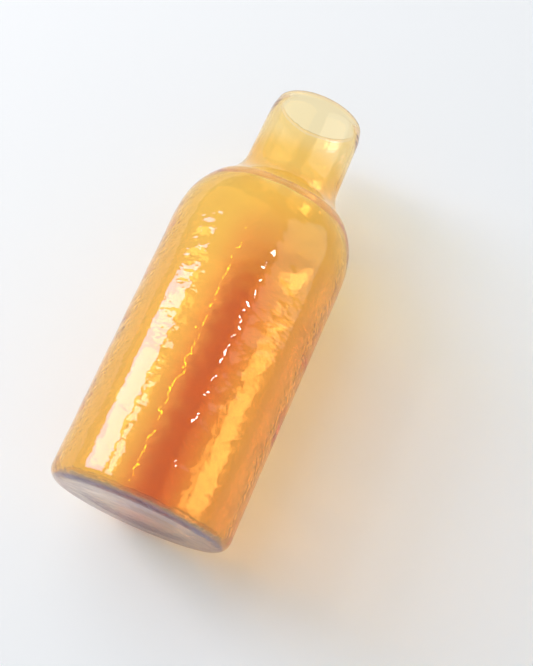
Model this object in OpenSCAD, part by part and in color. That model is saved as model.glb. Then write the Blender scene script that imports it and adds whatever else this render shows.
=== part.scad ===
// Mould-blown amber glass carafe, standing on its base.
// The origin is the centre of the plane it stands on, and +Z runs up its axis.
// The real carafe is one piece of glass. It is drawn as the zones that a
// glassmaker names, each a ring that meets the next one face to face.

/* [Body] */
// Outer diameter of the body
body_d = 101; // [92:1:130]
// Height at which the straight side wall ends and the shoulder starts
shoulder_z = 156; // [90:1:220]
// Thickness of the side wall and the shoulder
wall_t = 3.4; // [2:0.1:5]

/* [Base] */
// Thickness of the glass above the standing ring
base_t = 3.5; // [2.5:0.5:8]
// Outside radius where the base turns up into the wall
heel_r = 7; // [3:0.5:9]
// Inside radius where the floor turns up into the wall
corner_r = 4.5; // [2:0.5:9]
// Width of the flat ring that the carafe stands on
ring_w = 12; // [9:0.5:20]
// Rise of the shallow hollow under the middle of the base
punt_h = 1.5; // [1:0.5:6]
// Thickness of the glass at the middle of the base
punt_t = 3.5; // [2.5:0.5:8]

/* [Shoulder] */
// Rise from the side wall to the root of the neck
shoulder_rise = 42; // [32:1:60]
// Squareness of the shoulder curve, where 2 is a plain ellipse
shoulder_power = 2.4; // [2:0.1:3.2]
// Reach of the flare between shoulder and neck, along each of them
crease_r = 12; // [2:0.5:16]

/* [Neck] */
// Outer diameter at the root of the neck
neck_root_d = 55.5; // [44:0.5:64]
// Outer diameter at the top of the neck
neck_top_d = 53.5; // [40:0.5:60]
// Height of the neck from its root to the top of the lip
neck_h = 52; // [35:1:90]
// Thickness of the neck wall
neck_t = 2.4; // [1.6:0.1:4]

/* [Lip] */
// Thickness of the lip, which the fire gathers into a bead
lip_t = 3; // [2.4:0.1:4]
// Height of the fire-polished lip
lip_h = 9; // [6:0.5:14]
// Height of the rounded crown on the lip
crown_h = 2; // [1.5:0.1:3.5]
// How far the lip draws in over the mouth
lip_lean = 1.2; // [0:0.1:2]

/* [Hidden] */

// Facets round the axis, and steps along each curve of an outline
round_facets = 96;
arc_steps = 10;
shoulder_steps = 28;

// How far the heel zone runs on past its two curves, above them and inside them
heel_run = 1;

// Radii of the body, its inside and the rings of the base
body_r = body_d / 2;
inside_r = body_r - wall_t;
punt_r = body_r - heel_r - ring_w;
corner_start_r = inside_r - corner_r;
heel_start_r = body_r - heel_r;
ring_end_r = min(corner_start_r, heel_start_r) - heel_run;

// Heights that the zones share
corner_top_z = base_t + corner_r;
heel_top_z = max(corner_top_z, heel_r) + heel_run;
root_z = shoulder_z + shoulder_rise;
top_z = root_z + neck_h;
lip_z = top_z - lip_h;
crown_z = top_z - crown_h;

// Neck radii at its root and top, and the flare inside its root
root_r = neck_root_d / 2;
top_r = neck_top_d / 2;
root_inside_r = root_r - neck_t;
inside_crease_r = crease_r + neck_t;
neck_start_z = root_z + inside_crease_r;

// Half height of the full shoulder curve, which reaches root_r at root_z
curve_h = shoulder_rise / pow(1 - pow(root_r / body_r, shoulder_power), 1 / shoulder_power);

// Rise of the inside floor over the hollow below it
floor_rise = punt_h + punt_t - base_t;

// Colours of the glass, from the thin pale neck to the deep body
lip_tint = [0.97, 0.86, 0.58];
neck_tint = [0.95, 0.74, 0.38];
shoulder_tint = [0.94, 0.66, 0.28];
body_tint = [0.88, 0.52, 0.20];
base_tint = [0.80, 0.42, 0.22];

// Outer radius of the neck at height z
function neck_r(z) = root_r + (top_r - root_r) * (z - root_z) / neck_h;

// Height of the shoulder curve of half axes a and h at radius r
function curve_z(a, h, r) = shoulder_z + h * pow(1 - pow(r / a, shoulder_power), 1 / shoulder_power);

// Points along the shoulder curve of half axes a and h, from the wall in to radius r
function shoulder_curve(a, h, r) = [
    for (i = [0:shoulder_steps])
        let (t = acos(pow(r / a, shoulder_power / 2)) * i / shoulder_steps)
        [a * pow(cos(t), 2 / shoulder_power), shoulder_z + h * pow(sin(t), 2 / shoulder_power)]
];

// Points of an arc round the centre c
function arc(c, r, from, to) = [
    for (i = [0:arc_steps])
        let (t = from + (to - from) * i / arc_steps)
        c + r * [cos(t), sin(t)]
];

// Points of a smooth turn from a to b that is pulled towards a corner
function turn(a, corner, b) = [
    for (i = [0:arc_steps])
        let (t = i / arc_steps)
        a * (1 - t) * (1 - t) + corner * 2 * t * (1 - t) + b * t * t
];

// A zone of the wall, spun round the axis
module zone(outline) {
    rotate_extrude($fn = round_facets) polygon(outline);
}

// The middle of the base, hollowed below and domed above
module base_punt() {
    below = [
        for (i = [0:arc_steps])
            let (share = i / arc_steps)
            [punt_r * share, punt_h * (1 - share * share)]
    ];
    above = [
        for (i = [arc_steps:-1:0])
            let (share = i / arc_steps)
            [punt_r * share, base_t + floor_rise * (1 + cos(180 * share)) / 2]
    ];
    color(base_tint) zone(concat(below, above));
}

// The flat ring round the hollow, which the carafe stands on
module standing_ring() {
    color(base_tint) zone([
        [punt_r, 0],
        [ring_end_r, 0],
        [ring_end_r, base_t],
        [punt_r, base_t]
    ]);
}

// The rounded corner where the base turns up into the wall
module heel() {
    outside = arc([heel_start_r, heel_r], heel_r, -90, 0);
    inside = arc([corner_start_r, corner_top_z], corner_r, 0, -90);
    color(base_tint) zone(concat(
        [[ring_end_r, 0]],
        outside,
        [[body_r, heel_top_z], [inside_r, heel_top_z]],
        inside,
        [[ring_end_r, base_t]]
    ));
}

// The straight side wall
module body_wall() {
    color(body_tint) zone([
        [inside_r, heel_top_z],
        [body_r, heel_top_z],
        [body_r, shoulder_z],
        [inside_r, shoulder_z]
    ]);
}

// The shoulder, with the flare that leads up into the neck
module shoulder() {
    inside_h = curve_h - wall_t;
    outside_end = root_r + crease_r;
    inside_end = root_inside_r + inside_crease_r;
    outside_corner = [root_r, root_z];
    inside_corner = [root_inside_r, curve_z(inside_r, inside_h, root_inside_r)];
    outside_turn_z = root_z + crease_r;
    inside_turn_z = inside_corner[1] + inside_crease_r;
    outside = concat(
        shoulder_curve(body_r, curve_h, outside_end),
        turn(
            [outside_end, curve_z(body_r, curve_h, outside_end)],
            outside_corner,
            [neck_r(outside_turn_z), outside_turn_z]
        ),
        [[neck_r(neck_start_z), neck_start_z]]
    );
    inside = concat(
        shoulder_curve(inside_r, inside_h, inside_end),
        turn(
            [inside_end, curve_z(inside_r, inside_h, inside_end)],
            inside_corner,
            [neck_r(inside_turn_z) - neck_t, inside_turn_z]
        ),
        [[neck_r(neck_start_z) - neck_t, neck_start_z]]
    );
    last = len(inside) - 1;
    color(shoulder_tint) zone(concat(outside, [for (i = [last:-1:0]) inside[i]]));
}

// The neck, which draws in a little towards the lip
module neck() {
    color(neck_tint) zone([
        [neck_r(neck_start_z) - neck_t, neck_start_z],
        [neck_r(neck_start_z), neck_start_z],
        [neck_r(lip_z), lip_z],
        [neck_r(lip_z) - neck_t, lip_z]
    ]);
}

// Outer radius of the lip at a share of its height below the crown
function lip_r(share) = neck_r(lip_z + (crown_z - lip_z) * share) - lip_lean * share * share;

// The fire-polished lip, which thickens, draws in over the mouth and is rounded over
module lip() {
    crown_r = lip_r(1) - lip_t / 2;
    outside = [
        for (i = [0:arc_steps - 1])
            let (share = i / arc_steps)
            [lip_r(share), lip_z + (crown_z - lip_z) * share]
    ];
    crown = [
        for (i = [0:2 * arc_steps])
            let (t = 90 * i / arc_steps)
            [crown_r + lip_t / 2 * cos(t), crown_z + crown_h * sin(t)]
    ];
    inside = [
        for (i = [arc_steps - 1:-1:0])
            let (share = i / arc_steps)
            [
                lip_r(share) - neck_t - (lip_t - neck_t) * share,
                lip_z + (crown_z - lip_z) * share
            ]
    ];
    color(lip_tint) zone(concat(outside, crown, inside));
}

base_punt();
standing_ring();
heel();
body_wall();
shoulder();
neck();
lip();
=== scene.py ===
"""Amber glass carafe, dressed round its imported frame.

The carafe stands at the origin with its axis along +Z. A pale floor lies under
it, and a pale backdrop stands upright behind it and touches its side.
"""

import logging
import math
import random
from dataclasses import dataclass
from enum import Enum

import bpy
import numpy as np
from mathutils import Matrix, Vector


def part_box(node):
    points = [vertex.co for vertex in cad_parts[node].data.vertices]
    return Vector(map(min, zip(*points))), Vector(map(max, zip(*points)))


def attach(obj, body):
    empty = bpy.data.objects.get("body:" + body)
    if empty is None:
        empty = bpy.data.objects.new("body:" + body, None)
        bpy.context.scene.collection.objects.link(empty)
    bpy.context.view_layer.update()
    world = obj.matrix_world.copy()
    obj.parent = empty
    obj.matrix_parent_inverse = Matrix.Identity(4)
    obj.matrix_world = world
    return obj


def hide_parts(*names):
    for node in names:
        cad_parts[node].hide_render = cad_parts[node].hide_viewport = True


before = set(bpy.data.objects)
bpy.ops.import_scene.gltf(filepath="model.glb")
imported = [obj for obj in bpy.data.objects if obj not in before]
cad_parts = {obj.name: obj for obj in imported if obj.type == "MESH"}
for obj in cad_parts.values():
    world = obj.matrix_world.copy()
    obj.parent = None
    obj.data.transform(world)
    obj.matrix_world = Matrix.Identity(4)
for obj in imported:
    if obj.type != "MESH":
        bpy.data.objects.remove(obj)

LOG = logging.getLogger("carafe")
MM = 0.001

# Long side of the camera's film, in millimetres
FILM_LONG_SIDE = 36.0

# Turns and azimuths are in degrees, and an azimuth is a quarter turn ahead of a mesh angle
QUARTER_TURN = 90.0
BACKDROP_AZIMUTH = 45.0

# The mould has three parts, and the middle of its roughest one faces this way.
# The flash is deepened as painted shade on this side and on the side opposite it.
MOULD_PARTS = 3
ROUGH_AND_SHADE_AZIMUTH = 52.0

# Mesh attribute for the share of the flash, on the outside, the crown of the lip and the inside
FLASHED = "flashed"
OUTSIDE_SHARE, CROWN_SHARE, INSIDE_SHARE = 1.0, 0.5, 0.0

# Points of an outline that lie closer than this are one point, in metres
LEAST_GAP = 1e-7

# A point is a radius and a height, and a span is where a change starts and ends
Point = tuple[float, float]
Span = tuple[float, float]
Colour = tuple[float, float, float]
Socket = bpy.types.NodeSocket
WHOLE: Span = (0.0, 1.0)


class Side(Enum):
    """Which surface of the glass an outline follows."""

    OUTSIDE = "outside"
    INSIDE = "inside"


def smooth_step(low: float, high: float, value: np.ndarray) -> np.ndarray:
    """Rises smoothly from 0 at low to 1 at high.

    Args:
        low: Where the rise starts.
        high: Where the rise ends.
        value: Places to read the rise at.

    Returns:
        The rise at each place.
    """
    t = np.clip((value - low) / (high - low), 0.0, 1.0)
    return t * t * (3.0 - 2.0 * t)


def heading(azimuth: float, elevation: float = 0.0) -> Vector:
    """Gives the direction from the carafe towards a viewer.

    Args:
        azimuth: Degrees round the axis, 0 at -Y and 90 at +X.
        elevation: Degrees above level.

    Returns:
        A unit vector.
    """
    a, e = math.radians(azimuth), math.radians(elevation)
    return Vector((math.sin(a) * math.cos(e), -math.cos(a) * math.cos(e), math.sin(e)))


def facing(front: Vector, axis: str) -> Matrix:
    """Gives the turn that points one axis of a thing at a direction.

    Args:
        front: Direction to point at.
        axis: Axis that points at it, such as "Z" or "-Z".

    Returns:
        The turn, as a matrix that also carries a place.
    """
    return front.to_track_quat(axis, "Y").to_matrix().to_4x4()


@dataclass(frozen=True)
class NodeBench:
    """Where a finish or a sky is put together: it adds nodes to one tree and joins them."""

    tree: bpy.types.NodeTree

    def add(self, kind: str, given: dict[str | int, object]) -> bpy.types.Node:
        """Adds a node that has nothing to set but its inputs.

        Args:
            kind: Name of the node, without its leading "ShaderNode".
            given: What each input takes, by the input's name or number.

        Returns:
            The new node.
        """
        node = self.tree.nodes.new("ShaderNode" + kind)
        self.feed(node, given)
        return node

    def feed(self, node: bpy.types.Node, given: dict[str | int, object]) -> None:
        """Sets the inputs of a node to plain values, or links them to sockets.

        Args:
            node: The node to feed.
            given: What each input takes, by the input's name or number.
        """
        for key, value in given.items():
            if isinstance(value, Socket):
                self.tree.links.new(value, node.inputs[key])
            else:
                node.inputs[key].default_value = value

    def reckon(self, operation: str, *given: Socket | float, clamp: bool = False) -> Socket:
        """Does one step of arithmetic.

        Args:
            operation: Name of the step.
            given: Sockets or numbers that it works on.
            clamp: True where the result stays between 0 and 1.

        Returns:
            The socket that carries the result.
        """
        node = self.tree.nodes.new("ShaderNodeMath")
        node.operation = operation
        node.use_clamp = clamp
        self.feed(node, dict(enumerate(given)))
        return node.outputs["Value"]

    def measure(self, operation: str, *given: Socket | Vector) -> Socket:
        """Measures a vector as one number.

        Args:
            operation: Name of the measure.
            given: The vector's socket, and what it is measured against, if anything.

        Returns:
            The socket that carries the number.
        """
        node = self.tree.nodes.new("ShaderNodeVectorMath")
        node.operation = operation
        self.feed(node, dict(enumerate(given)))
        return node.outputs["Value"]

    def place(self) -> Socket:
        """Reads where a point of the piece lies, in metres."""
        return self.add("TexCoord", {}).outputs["Object"]

    def split(self, vector: Socket) -> list[Socket]:
        """Splits a vector into its X, Y and Z."""
        return list(self.add("SeparateXYZ", {0: vector}).outputs)

    def noise(self, place: Socket, per_metre: float, detail: float) -> Socket:
        """Makes soft random clouds, mostly near 0.5, with finer layers of detail on them."""
        node = self.add("TexNoise", {"Vector": place, "Scale": per_metre, "Detail": detail})
        return node.outputs["Fac"]

    def rise(self, value: Socket, span: Span, low: float = 0.0, high: float = 1.0) -> Socket:
        """Leads smoothly from one level to another as a value grows.

        Args:
            value: Socket that carries the value.
            span: Values at which the change starts and ends.
            low: Level below the span.
            high: Level above the span.

        Returns:
            The socket that carries the level.
        """
        node = self.tree.nodes.new("ShaderNodeMapRange")
        node.interpolation_type = "SMOOTHSTEP"
        limits = {"From Min": span[0], "From Max": span[1], "To Min": low, "To Max": high}
        self.feed(node, {"Value": value, **limits})
        return node.outputs["Result"]

    def blend(
        self, value: Socket, span: Span, low: Socket | Colour, high: Socket | Colour
    ) -> Socket:
        """Blends two colours smoothly as a value grows.

        Args:
            value: Socket that carries the value, such as the height.
            span: Values at which the blend starts and ends.
            low: Colour, or socket that carries it, below the span.
            high: Colour, or socket that carries it, above the span.

        Returns:
            The socket that carries the blend.
        """
        share = self.rise(value, span)
        node = self.tree.nodes.new("ShaderNodeMix")
        node.data_type = "RGBA"
        ends = [(*end, 1.0) if isinstance(end, tuple) else end for end in (low, high)]
        self.feed(node, {"Factor": share, "A": ends[0], "B": ends[1]})
        return node.outputs["Result"]

    def highest(self, sockets: list[Socket]) -> Socket:
        """Joins several sockets into one.

        Args:
            sockets: The sockets to join, at least one.

        Returns:
            The socket that carries the highest of them.
        """
        held = sockets[0]
        for socket in sockets[1:]:
            held = self.reckon("MAXIMUM", held, socket)
        return held

    def less(self, held: Socket, taken: Socket, share: float) -> Socket:
        """Lowers one socket by a share of another, down to zero."""
        return self.reckon("MULTIPLY_ADD", taken, -share, held, clamp=True)


@dataclass(frozen=True)
class AmberGlass:
    """Clear glass with a lilac cast, flashed with amber on its outside.

    The amber is deep on the body, thins towards the lip and gives way to grey under
    the base. On two opposite sides of the body, and more on one side, it is deepened
    as painted shade. A flash colour is what is left of white light that has passed the
    outside twice, once on its way in and once on its way out.
    """

    # The glass itself
    cast: Colour = (0.95, 0.82, 0.92)
    per_metre: float = 100.0
    index: float = 1.5
    inside: Colour = (1.0, 1.0, 1.0)

    # The flash, from the base to the lip, and the heights between them
    base_flash: Colour = (0.25, 0.235, 0.275)
    # The deep body flash stands partly for the amber and partly for painted shade
    body_flash_and_shade: Colour = (0.88, 0.315, 0.07)
    thin_flash: Colour = (0.97, 0.60, 0.10)
    shoulder_flash: Colour = (0.98, 0.67, 0.10)
    neck_flash: Colour = (0.98, 0.56, 0.065)
    lip_flash: Colour = (1.0, 0.78, 0.27)
    heel_fade: Span = (1.0 * MM, 2.6 * MM)
    shoulder_fade: Span = (140.0 * MM, 180.0 * MM)
    neck_fade: Span = (190.0 * MM, 210.0 * MM)
    lip_fade: Span = (211.0 * MM, 226.0 * MM)

    # How the flash clouds at random round the body, and how it is deepened as painted shade
    # on two opposite sides and more on one side
    clouds_per_metre: float = 35.0
    cloud_detail: float = 3.0
    cloudiness: float = 0.5
    # How narrow the painted shade on two opposite sides is
    shade_narrowing: float = 8.5
    # How much the painted shade leans towards one side
    shade_side_lean: float = 0.36

    # The finest ripple, and the share of it that is left on the neck
    ripples_per_metre: float = 190.0
    ripple_detail: float = 1.0
    ripple_stretch: float = 1.5
    ripple: float = 0.16 * MM
    neck_ripple: float = 0.15

    # The underside
    ground: float = 0.08
    ground_fade: Span = (0.2 * MM, 1.6 * MM)

    def material(self) -> bpy.types.Material:
        """Puts the glass together from its cast, flash, ripple and polish.

        Returns:
            The new material.
        """
        mat = bpy.data.materials.new("amber_glass")
        mat.use_nodes = True
        mat.node_tree.nodes.clear()
        bench = NodeBench(mat.node_tree)
        glass = bench.add("BsdfPrincipled", {
            "Base Color": self.flash(bench),
            "Roughness": self.grinding(bench),
            "Normal": self.fine_ripple(bench),
            "IOR": self.index,
            "Transmission Weight": 1.0,
        })
        volume = bench.add("VolumeAbsorption", {
            "Color": (*self.cast, 1.0),
            "Density": self.per_metre,
        })
        bench.add("OutputMaterial", {
            "Surface": glass.outputs["BSDF"],
            "Volume": volume.outputs["Volume"],
        })
        return mat

    def flash(self, bench: NodeBench) -> Socket:
        """Lays the flash, with painted shade on the body, on the outside and leaves the inside
        clear.

        Args:
            bench: Where the glass is put together.

        Returns:
            The socket that carries the colour.
        """
        place = bench.place()
        x, y, z = bench.split(place)
        flat = bench.add("CombineXYZ", {"X": x, "Y": y}).outputs[0]
        # Depth of the flash, clouded at random and deepened as painted shade
        depth = self.clouds_and_painted_shade(bench, flat, place)
        body = bench.blend(depth, WHOLE, self.thin_flash, self.body_flash_and_shade)
        upper = bench.blend(z, self.lip_fade, self.neck_flash, self.lip_flash)
        upper = bench.blend(z, self.neck_fade, self.shoulder_flash, upper)
        upper = bench.blend(z, self.shoulder_fade, body, upper)
        outside = bench.blend(z, self.heel_fade, self.base_flash, upper)
        side = bench.add("Attribute", {})
        side.attribute_name = FLASHED
        return bench.blend(side.outputs["Fac"], WHOLE, self.inside, outside)

    def clouds_and_painted_shade(self, bench: NodeBench, flat: Socket, place: Socket) -> Socket:
        """Paints shade into the flash on two opposite sides and one side, and clouds it at random.

        Args:
            bench: Where the glass is put together.
            flat: Socket that carries the place with its height left out.
            place: Socket that carries the place.

        Returns:
            The socket that carries the depth of the flash, painted shade included, from 0 to 1.
        """
        unit = bench.tree.nodes.new("ShaderNodeVectorMath")
        unit.operation = "NORMALIZE"
        bench.feed(unit, {0: flat})
        ahead = bench.measure("DOT_PRODUCT", unit.outputs[0], heading(ROUGH_AND_SHADE_AZIMUTH))
        # Direction of the side that is given more painted shade
        beside = bench.measure(
            "DOT_PRODUCT", unit.outputs[0], heading(ROUGH_AND_SHADE_AZIMUTH + QUARTER_TURN)
        )
        # Painted shade: the flash is deepest on two opposite sides of the body
        painted_shade_sides = bench.reckon("POWER", bench.reckon("MULTIPLY", ahead, ahead), self.shade_narrowing)
        cloud = bench.noise(place, self.clouds_per_metre, self.cloud_detail)
        clouded = bench.reckon("MULTIPLY_ADD", cloud, self.cloudiness, -self.cloudiness / 2.0)
        depth = bench.reckon("ADD", clouded, painted_shade_sides)
        # Painted shade: the flash deepens further towards one side of the body
        return bench.reckon("MULTIPLY_ADD", beside, self.shade_side_lean, depth, clamp=True)

    def fine_ripple(self, bench: NodeBench) -> Socket:
        """Adds the finest ripple of the mould, too small for the mesh, up to the shoulder.

        Args:
            bench: Where the glass is put together.

        Returns:
            The socket that carries the normal.
        """
        place = bench.place()
        stretch = bench.add("Mapping", {"Vector": place, "Scale": (1.0, 1.0, self.ripple_stretch)})
        waves = bench.noise(stretch.outputs["Vector"], self.ripples_per_metre, self.ripple_detail)
        share = bench.rise(bench.split(place)[2], self.shoulder_fade, 1.0, self.neck_ripple)
        bump = bench.add("Bump", {"Distance": self.ripple, "Strength": share, "Height": waves})
        return bump.outputs["Normal"]

    def grinding(self, bench: NodeBench) -> Socket:
        """Keeps the glass polished, but for the underside that was ground flat to stand on."""
        height = bench.split(bench.place())[2]
        return bench.rise(height, self.ground_fade, self.ground, 0.0)


@dataclass(frozen=True)
class StagePaper:
    """Matt pale paper that is seen from its front only and fades out at its edges."""

    name: str
    colour: Colour = (0.895, 0.94, 0.955)
    fade: Span = (1.2, 1.6)
    passes_light: bool = False

    def material(self) -> bpy.types.Material:
        """Puts the paper together.

        Returns:
            The new material.
        """
        mat = bpy.data.materials.new(self.name)
        mat.use_nodes = True
        mat.node_tree.nodes.clear()
        bench = NodeBench(mat.node_tree)
        paper = bench.add("BsdfDiffuse", {"Color": (*self.colour, 1.0)})
        clear = bench.add("BsdfTransparent", {})
        edge = bench.rise(bench.measure("LENGTH", bench.place()), self.fade)
        back = bench.add("NewGeometry", {}).outputs["Backfacing"]
        hidden = bench.highest([edge, back])
        if self.passes_light:
            ray = bench.add("LightPath", {})
            kinds = ("Is Shadow Ray", "Is Glossy Ray", "Is Diffuse Ray", "Is Transmission Ray")
            hidden = bench.highest([hidden] + [ray.outputs[kind] for kind in kinds])
        mix = bench.add("MixShader", {
            0: hidden,
            1: paper.outputs["BSDF"],
            2: clear.outputs["BSDF"],
        })
        bench.add("OutputMaterial", {"Surface": mix.outputs["Shader"]})
        return mat


@dataclass(frozen=True)
class WaveBand:
    """Random waves of one size, pressed into the soft glass by the mould.

    Patchy waves are deep in the middle of each part of the mould and shallow at
    its seams.
    """

    depth: float
    length_round: float
    length_up: float
    waves: int
    seed: int
    patchy: bool = False
    least_rise: float = 0.35
    steepness: float = 0.8
    patch_share: float = 0.45
    patch_edge: float = 2.0

    def height(self, angle: np.ndarray, up: np.ndarray, radius: float) -> np.ndarray:
        """Sums the waves over a grid.

        Args:
            angle: Angles round the axis, in radians.
            up: Distances along the outline, in metres.
            radius: Radius at which the length round the body is measured.

        Returns:
            Hollow depths from 0 to depth, one row for each distance up.
        """
        draw = random.Random(self.seed)
        full_turn = 2.0 * math.pi
        total = np.zeros((len(up), len(angle)))
        for _ in range(self.waves):
            most_round = full_turn * radius / self.length_round
            count = round(most_round * draw.uniform(-1.0, 1.0))
            rise = full_turn / self.length_up * draw.uniform(self.least_rise, 1.0)
            phase = draw.uniform(0.0, full_turn)
            total += np.cos(count * angle[None, :] + rise * up[:, None] + phase)
        total /= math.sqrt(self.waves / 2.0)
        depth = self.depth * (0.5 + 0.5 * np.tanh(self.steepness * total))
        if self.patchy:
            middle = math.radians(ROUGH_AND_SHADE_AZIMUTH - QUARTER_TURN)
            part = np.tanh(self.patch_edge * np.cos(MOULD_PARTS * (angle - middle)))
            depth *= (1.0 - self.patch_share) + self.patch_share * part[None, :]
        return depth


@dataclass
class GlassWall:
    """The one wall of the carafe, as a closed outline spun round the axis.

    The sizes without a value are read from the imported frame. The others repeat
    what its solids are drawn with.
    """

    body_r: float
    punt_r: float
    base_t: float
    floor_mid_z: float
    shoulder_z: float
    neck_start_z: float
    neck_start_r: float
    lip_z: float
    lip_r: float
    top_z: float
    wall_t: float = 3.4 * MM
    heel_r: float = 7.0 * MM
    corner_r: float = 4.5 * MM
    punt_h: float = 1.5 * MM
    neck_t: float = 2.4 * MM
    lip_t: float = 3.0 * MM
    crease_r: float = 12.0 * MM
    crown_h: float = 2.0 * MM
    lip_lean: float = 1.2 * MM
    shoulder_power: float = 2.4

    # Steps along each curve before the rows are spaced
    base_steps: int = 16
    corner_steps: int = 16
    shoulder_steps: int = 60
    crease_steps: int = 14
    neck_steps: int = 12
    crown_steps: int = 24
    fine_steps: int = 4000

    # Spaces of the rows up the wall, and points in each row
    row_step: float = 1.15 * MM
    calm_step: float = 2.0 * MM
    inner_coarser: float = 1.6
    round_steps: int = 252

    @classmethod
    def from_frame(cls) -> "GlassWall":
        """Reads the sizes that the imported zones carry.

        Returns:
            The wall, fitted to the frame.
        """
        punt_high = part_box("base_punt")[1]
        ring_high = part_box("standing_ring")[1]
        wall_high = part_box("body_wall")[1]
        neck_low, neck_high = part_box("neck")
        lip_low, lip_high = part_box("lip")
        return cls(
            body_r=wall_high[0],
            punt_r=punt_high[0],
            base_t=ring_high[2],
            floor_mid_z=punt_high[2],
            shoulder_z=wall_high[2],
            neck_start_z=neck_low[2],
            neck_start_r=neck_high[0],
            lip_z=lip_low[2],
            lip_r=lip_high[0],
            top_z=lip_high[2],
        )

    @property
    def crown_z(self) -> float:
        """Height at which the rounded crown of the lip starts."""
        return self.top_z - self.crown_h

    def neck_r(self, z: float) -> float:
        """Outer radius of the neck at height z, which narrows evenly upwards."""
        share = (z - self.neck_start_z) / (self.lip_z - self.neck_start_z)
        return self.neck_start_r + (self.lip_r - self.neck_start_r) * share

    def curve_z(self, a: float, h: float, r: float) -> float:
        """Height of the shoulder curve of half axes a and h at radius r."""
        n = self.shoulder_power
        return self.shoulder_z + h * (1.0 - (r / a) ** n) ** (1.0 / n)

    def shoulder_curve(self, a: float, h: float, end_r: float) -> list[Point]:
        """Points along the shoulder, from the side wall in to a radius.

        Args:
            a: Half width of the full curve.
            h: Half height of the full curve.
            end_r: Radius at which the points stop.

        Returns:
            Pairs of radius and height.
        """
        n = self.shoulder_power
        last = math.acos((end_r / a) ** (n / 2.0))
        points = []
        for i in range(self.shoulder_steps + 1):
            t = last * i / self.shoulder_steps
            z = self.shoulder_z + h * math.sin(t) ** (2.0 / n)
            points.append((a * math.cos(t) ** (2.0 / n), z))
        return points

    def quarter(self, centre: Point, r: float) -> list[Point]:
        """Points of a quarter arc, from straight below its centre up to level with it.

        Args:
            centre: Radius and height of the centre.
            r: Radius of the arc.

        Returns:
            Pairs of radius and height.
        """
        points = []
        for i in range(self.corner_steps + 1):
            t = math.radians(-QUARTER_TURN + QUARTER_TURN * i / self.corner_steps)
            points.append((centre[0] + r * math.cos(t), centre[1] + r * math.sin(t)))
        return points

    def turn(self, a: Point, corner: Point, b: Point) -> list[Point]:
        """Points of a smooth turn that is pulled towards a corner.

        Args:
            a: Where the turn starts.
            corner: Corner that pulls it.
            b: Where the turn ends.

        Returns:
            Pairs of radius and height.
        """
        points = []
        for i in range(self.crease_steps + 1):
            t = i / self.crease_steps
            pulls = list(zip(((1.0 - t) ** 2, 2.0 * t * (1.0 - t), t * t), (a, corner, b)))
            points.append(tuple(sum(pull * p[k] for pull, p in pulls) for k in (0, 1)))
        return points

    def base_line(self, side: Side) -> list[Point]:
        """Follows one surface of the base, from its middle out and up to the side wall.

        Args:
            side: The surface to follow.

        Returns:
            Pairs of radius and height.
        """
        shares = [i / self.base_steps for i in range(self.base_steps + 1)]
        if side is Side.OUTSIDE:
            hollow = [(self.punt_r * share, self.punt_h * (1.0 - share ** 2)) for share in shares]
            heel = (self.body_r - self.heel_r, self.heel_r)
            return hollow + self.quarter(heel, self.heel_r)
        rise = self.floor_mid_z - self.base_t
        lifts = [(1.0 + math.cos(math.pi * share)) / 2.0 for share in shares]
        floor = [(self.punt_r * s, self.base_t + rise * lift) for s, lift in zip(shares, lifts)]
        corner = (self.body_r - self.wall_t - self.corner_r, self.base_t + self.corner_r)
        return floor + self.quarter(corner, self.corner_r)

    def neck_line(self, side: Side) -> list[Point]:
        """Follows one surface of the lip up to its crown, as it draws in and thickens.

        Args:
            side: The surface to follow.

        Returns:
            Pairs of radius and height.
        """
        points = []
        for i in range(self.neck_steps + 1):
            share = i / self.neck_steps
            z = self.lip_z + (self.crown_z - self.lip_z) * share
            r = self.neck_r(z) - self.lip_lean * share * share
            if side is Side.INSIDE:
                r = r - self.neck_t - (self.lip_t - self.neck_t) * share
            points.append((r, z))
        return points

    def outline(self, side: Side) -> list[Point]:
        """Follows one surface from the middle of the base up to the lip.

        Args:
            side: The surface to follow.

        Returns:
            Pairs of radius and height.
        """
        outside = side is Side.OUTSIDE
        wall, skin = (0.0, 0.0) if outside else (self.wall_t, self.neck_t)
        root_z = self.neck_start_z - self.crease_r - self.neck_t
        root_r = self.neck_r(root_z)
        n = self.shoulder_power
        half_h = (root_z - self.shoulder_z) / (1.0 - (root_r / self.body_r) ** n) ** (1.0 / n)
        a, h = self.body_r - wall, half_h - wall
        end_r, reach = root_r - skin, self.crease_r + skin
        start_r, corner_z = end_r + reach, self.curve_z(a, h, end_r)
        end_z = corner_z + reach
        crease = self.turn(
            (start_r, self.curve_z(a, h, start_r)),
            (end_r, corner_z),
            (self.neck_r(end_z) - skin, end_z),
        )
        shoulder = self.shoulder_curve(a, h, start_r)
        return self.base_line(side) + shoulder + crease + self.neck_line(side)

    def crown(self) -> list[Point]:
        """Follows the rounded crown of the lip, from the outside to the inside.

        Returns:
            Pairs of radius and height.
        """
        half_t = self.lip_t / 2.0
        middle_r = self.neck_r(self.crown_z) - self.lip_lean - half_t
        points = []
        for i in range(1, self.crown_steps):
            t = math.pi * i / self.crown_steps
            z = self.crown_z + self.crown_h * math.sin(t)
            points.append((middle_r + half_t * math.cos(t), z))
        return points

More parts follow.
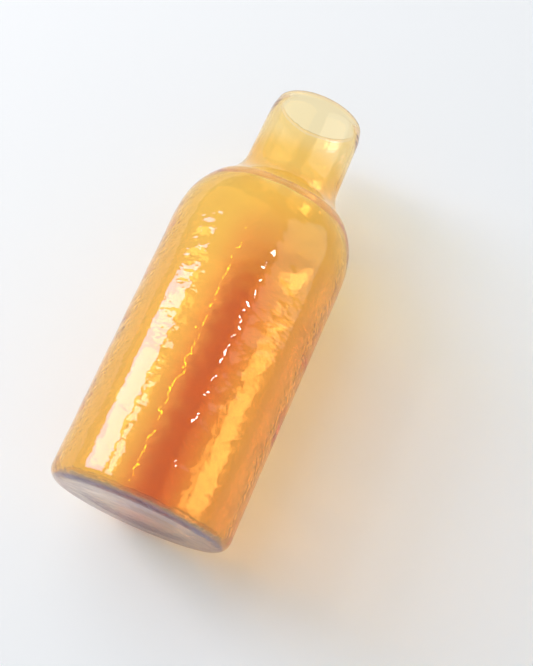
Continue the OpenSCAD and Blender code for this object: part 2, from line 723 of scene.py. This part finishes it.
    def spaced(self, points: list[Point], coarser: float) -> np.ndarray:
        """Spaces points along an outline, close on the rippled body and wider elsewhere.

        Args:
            points: Pairs of radius and height.
            coarser: How many times wider than the outer surface's the spaces are.

        Returns:
            One row of radius and height for each new point.
        """
        given = np.array(points)
        gaps = np.hypot(*np.diff(given, axis=0).T)
        given = given[np.concatenate([[True], gaps > LEAST_GAP])]
        lengths = np.hypot(*np.diff(given, axis=0).T)
        fine = np.linspace(0.0, lengths.sum(), self.fine_steps)
        reach = np.concatenate([[0.0], np.cumsum(lengths)])
        r, z = (np.interp(fine, reach, given[:, k]) for k in (0, 1))
        rippled = (z > self.heel_r) & (z < self.neck_start_z)
        spaces = np.where(rippled, self.row_step, self.calm_step) * coarser
        count = np.concatenate([[0.0], np.cumsum((fine[1] - fine[0]) / spaces[1:])])
        marks = np.linspace(0.0, count[-1], round(count[-1]) + 1)
        return np.stack([np.interp(marks, count, values) for values in (r, z)], axis=1)


@dataclass
class CarafeGlass:
    """The whole carafe in one closed skin of rippled glass."""

    wall: GlassWall

    # Each band starts with its depth, its length round the body and its length up it
    outer_waves: tuple[WaveBand, ...] = (
        WaveBand(0.15 * MM, 10.0 * MM, 8.0 * MM, waves=110, seed=11, patchy=True),
        WaveBand(0.10 * MM, 19.0 * MM, 9.0 * MM, waves=80, seed=19, patchy=True),
        WaveBand(0.20 * MM, 46.0 * MM, 26.0 * MM, waves=40, seed=23),
    )
    inner_waves: tuple[WaveBand, ...] = (
        WaveBand(0.14 * MM, 24.0 * MM, 11.0 * MM, waves=60, seed=37),
        WaveBand(0.30 * MM, 60.0 * MM, 40.0 * MM, waves=30, seed=41),
    )
    name: str = "carafe_glass"

    # The ripple is full at this many heel radii up, and these shares of it fade out
    full_at: float = 4.0
    shoulder_calm: float = 0.62
    neck_calm: float = 0.6

    def strength(self, z: np.ndarray) -> np.ndarray:
        """Gives the share of the full ripple: none on the base and little on the neck.

        Args:
            z: Heights to read the share at.

        Returns:
            The share at each height.
        """
        wall = self.wall
        rise = smooth_step(wall.heel_r, wall.heel_r * self.full_at, z)
        shoulder = 1.0 - self.shoulder_calm * smooth_step(wall.shoulder_z, wall.neck_start_z, z)
        neck = 1.0 - self.neck_calm * smooth_step(wall.neck_start_z, wall.top_z, z)
        return rise * shoulder * neck

    def surface(
        self, rows: np.ndarray, waves: tuple[WaveBand, ...], inward: float
    ) -> np.ndarray:
        """Spins an outline round the axis and presses the ripple into it.

        Args:
            rows: Radius and height of each ring.
            waves: Wave bands of this surface.
            inward: 1 where the glass lies on the axis side, -1 where it lies outside.

        Returns:
            Points in the shape (rings, steps, 3).
        """
        wall = self.wall
        angle = np.arange(wall.round_steps) * 2.0 * math.pi / wall.round_steps
        along = np.concatenate([[0.0], np.cumsum(np.hypot(*np.diff(rows, axis=0).T))])
        tangent = np.gradient(rows, axis=0)
        tangent /= np.linalg.norm(tangent, axis=1)[:, None]
        into = np.stack([-tangent[:, 1], tangent[:, 0]], axis=1) * inward
        depth = sum(band.height(angle, along, wall.body_r) for band in waves)
        depth = depth * self.strength(rows[:, 1])[:, None]
        r, z = (rows[:, k][:, None] + into[:, k][:, None] * depth for k in (0, 1))
        x, y = r * np.cos(angle), r * np.sin(angle)
        return np.stack([x, y, np.broadcast_to(z, x.shape)], axis=2)

    @staticmethod
    def faces(rings: int, steps: int) -> list[tuple[int, ...]]:
        """Joins the rings into one closed skin, with a fan of faces at each end.

        Args:
            rings: Number of rings, from the base outside to the base inside.
            steps: Points in each ring; the middle points of the fans follow them all.

        Returns:
            The numbers of each face's corners.
        """
        low, high, last = rings * steps, rings * steps + 1, (rings - 1) * steps
        following = [(i + 1) % steps for i in range(steps)]
        faces = [(low, j, i) for i, j in enumerate(following)]
        for here in range(0, last, steps):
            above = here + steps
            faces += [(here + i, here + j, above + j, above + i) for i, j in enumerate(following)]
        return faces + [(last + i, last + j, high) for i, j in enumerate(following)]

    def build(self) -> bpy.types.Object:
        """Makes the closed mesh of the outer surface, the lip and the inner surface.

        Returns:
            The carafe's object, in place.
        """
        wall = self.wall
        outer = wall.spaced(wall.outline(Side.OUTSIDE), 1.0)
        inner = wall.spaced(wall.outline(Side.INSIDE), wall.inner_coarser)
        skins = [
            self.surface(outer[1:], self.outer_waves, 1.0),
            self.surface(np.array(wall.crown()), (), 1.0),
            self.surface(inner[1:], self.inner_waves, -1.0)[::-1],
        ]
        rings = np.concatenate(skins)
        points = [tuple(p) for p in rings.reshape(-1, 3)]
        points += [(0.0, 0.0, outer[0, 1]), (0.0, 0.0, inner[0, 1])]
        mesh = bpy.data.meshes.new(self.name)
        mesh.from_pydata(points, [], self.faces(*rings.shape[:2]))
        mesh.shade_smooth()
        shares = (OUTSIDE_SHARE, CROWN_SHARE, INSIDE_SHARE)
        flashed = np.repeat(shares, [len(skin) * wall.round_steps for skin in skins])
        side = mesh.attributes.new(FLASHED, "FLOAT", "POINT")
        ends = [OUTSIDE_SHARE, INSIDE_SHARE]
        side.data.foreach_set("value", np.concatenate([flashed, ends]))
        piece = bpy.data.objects.new(self.name, mesh)
        bpy.context.scene.collection.objects.link(piece)
        return piece

    def dress(self, piece: bpy.types.Object, finish: AmberGlass) -> None:
        """Gives the carafe its glass."""
        piece.data.materials.append(finish.material())


@dataclass
class PaleRoom:
    """The floor under the carafe and the backdrop behind it."""

    body_r: float
    reach: float = 1.8
    gap: float = 0.3 * MM

    def sheet(self, name: str, matrix: Matrix, paper: StagePaper) -> None:
        """Lays a square sheet of paper.

        Args:
            name: Name of the sheet.
            matrix: Its place; its front looks along its own +Z.
            paper: Its finish.
        """
        mesh = bpy.data.meshes.new(name)
        s = self.reach
        corners = [(-s, -s, 0.0), (s, -s, 0.0), (s, s, 0.0), (-s, s, 0.0)]
        mesh.from_pydata(corners, [], [(0, 1, 2, 3)])
        sheet = bpy.data.objects.new(name, mesh)
        sheet.matrix_world = matrix
        bpy.context.scene.collection.objects.link(sheet)
        mesh.materials.append(paper.material())

    def build(self) -> None:
        """Lays the floor and stands the backdrop against the carafe's side."""
        under = Matrix.Translation((0.0, 0.0, -self.gap))
        self.sheet("floor", under, StagePaper("floor_paper", passes_light=True))
        front = heading(BACKDROP_AZIMUTH)
        behind = Matrix.Translation(-front * (self.body_r + self.gap)) @ facing(front, "Z")
        self.sheet("backdrop", behind, StagePaper("backdrop_paper"))


@dataclass(frozen=True)
class SoftBox:
    """A rectangular lamp that faces the carafe and covers a patch of its sky.

    Its angles and sides are in degrees. Its level is its brightness, where 1 is
    white, and its height is that of the point on the axis that it faces.
    """

    name: str
    azimuth: float
    elevation: float
    wide: float
    tall: float
    level: float
    distance: float = 3.0
    height: float = 0.1
    lights_paper: bool = True
    mirrored: bool = True
    seen_through: bool = True
    colour: Colour = (1.0, 1.0, 1.0)

    def build(self) -> None:
        """Hangs the lamp."""
        data = bpy.data.lights.new(self.name, "AREA")
        data.shape = "RECTANGLE"
        across, up = (
            2.0 * self.distance * math.tan(math.radians(angle / 2.0))
            for angle in (self.wide, self.tall)
        )
        data.size, data.size_y = across, up
        data.energy = self.level * math.pi * across * up
        data.color = self.colour
        lamp = bpy.data.objects.new(self.name, data)
        back = heading(self.azimuth, self.elevation)
        place = back * self.distance + Vector((0.0, 0.0, self.height))
        lamp.matrix_world = Matrix.Translation(place) @ facing(back, "Z")
        lamp.visible_camera = False
        lamp.visible_diffuse = self.lights_paper
        lamp.visible_glossy = self.mirrored
        lamp.visible_transmission = self.seen_through
        bpy.context.scene.collection.objects.link(lamp)


@dataclass
class StudioLight:
    """A plain pale sky with a large window on the left, a soft wall and a few small lights."""

    white: Colour = (1.0, 1.0, 1.0)
    sky: float = 0.41
    dimming: float = 0.5
    light_bounces: int = 40
    lamps: tuple[SoftBox, ...] = (
        # The window, as it lights the paper and shines through the glass
        SoftBox(
            "window_lamp", azimuth=-17.0, elevation=9.0, wide=27.0, tall=19.0, level=8.6,
            mirrored=False, colour=(1.0, 0.92, 1.0),
        ),
        # The same window as the glass mirrors it, a little nearer so that neither hides the other
        SoftBox(
            "window_gleam", azimuth=-17.0, elevation=9.0, wide=27.0, tall=19.0, level=10.0,
            distance=2.9, lights_paper=False, seen_through=False, colour=(0.62, 0.50, 0.95),
        ),
        # A pane beside the window
        SoftBox(
            "pane_lamp", azimuth=4.2, elevation=5.0, wide=8.0, tall=14.0, level=7.0,
            colour=(1.0, 0.9, 0.9),
        ),
        # The soft wall round the window
        SoftBox(
            "wall_lamp", azimuth=-4.0, elevation=20.0, wide=80.0, tall=60.0, level=1.35,
            mirrored=False,
        ),
        # A small bright light that breaks into sparkles
        SoftBox(
            "spark_lamp", azimuth=70.0, elevation=16.1, wide=1.2, tall=3.6, level=100.0,
            lights_paper=False, seen_through=False,
        ),
        # A faint veil on the far side of the body
        SoftBox(
            "veil_lamp", azimuth=120.0, elevation=31.0, wide=80.0, tall=26.0, level=1.1,
            lights_paper=False,
        ),
        # A thin golden gleam between the window and the sparkles
        SoftBox(
            "gleam_lamp", azimuth=31.0, elevation=13.5, wide=0.7, tall=10.5, level=40.0,
            lights_paper=False, seen_through=False, colour=(1.0, 0.72, 0.0),
        ),
    )

    def build(self) -> None:
        """Hangs the lamps, paints the sky and lets light pass through the whole glass."""
        for lamp in self.lamps:
            lamp.build()
        cycles = bpy.context.scene.cycles
        cycles.blur_glossy = 0.0
        cycles.max_bounces = self.light_bounces
        cycles.glossy_bounces = self.light_bounces
        cycles.transmission_bounces = self.light_bounces
        self.paint_sky()

    def paint_sky(self) -> None:
        """Paints a sky that looks white, and lights the paper and the glass more dimly."""
        world = bpy.data.worlds.new("pale_sky")
        bpy.context.scene.world = world
        world.use_nodes = True
        world.node_tree.nodes.clear()
        bench = NodeBench(world.node_tree)
        white = (*self.white, 1.0)
        seen = bench.add("Background", {"Color": white})
        light = bench.add("Background", {"Color": white, "Strength": self.sky})
        ray = bench.add("LightPath", {})
        kinds = ("Is Camera Ray", "Is Glossy Ray", "Is Transmission Ray")
        direct = bench.highest([ray.outputs[kind] for kind in kinds])
        direct = bench.less(direct, ray.outputs["Diffuse Depth"], 1.0)
        direct = bench.less(direct, ray.outputs["Glossy Depth"], self.dimming)
        pick = bench.add("MixShader", {
            0: direct,
            1: light.outputs["Background"],
            2: seen.outputs["Background"],
        })
        bench.add("OutputWorld", {"Surface": pick.outputs["Shader"]})


@dataclass
class PhotoCamera:
    """The photograph's camera, as it looks at the carafe and the backdrop."""

    aim: tuple[float, float, float] = (14.0 * MM, 18.1 * MM, 118.8 * MM)
    distance: float = 703.6 * MM
    azimuth: float = 52.37
    elevation: float = -17.13
    roll: float = 24.09
    lens: float = 70.24

    def build(self) -> None:
        """Places the camera and makes it the scene's own."""
        data = bpy.data.cameras.new("photo_camera")
        data.sensor_width = FILM_LONG_SIDE
        data.lens = self.lens
        camera = bpy.data.objects.new("photo_camera", data)
        back = heading(self.azimuth, self.elevation)
        place = Matrix.Translation(Vector(self.aim) + back * self.distance)
        lean = Matrix.Rotation(math.radians(self.roll), 4, "Z")
        camera.matrix_world = place @ facing(-back, "-Z") @ lean
        bpy.context.scene.collection.objects.link(camera)
        bpy.context.scene.camera = camera


def main() -> None:
    """Builds the carafe, its stage, its light and its camera."""
    logging.basicConfig(level=logging.INFO, format="%(name)s: %(message)s")
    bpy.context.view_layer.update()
    wall = GlassWall.from_frame()
    glass = CarafeGlass(wall)
    piece = glass.build()
    glass.dress(piece, AmberGlass())
    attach(piece, "root")
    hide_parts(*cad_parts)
    LOG.info("%s: %d faces", piece.name, len(piece.data.polygons))
    PaleRoom(wall.body_r).build()
    StudioLight().build()
    PhotoCamera().build()
    bpy.context.scene.view_settings.view_transform = "Standard"


if __name__ == "__main__":
    main()
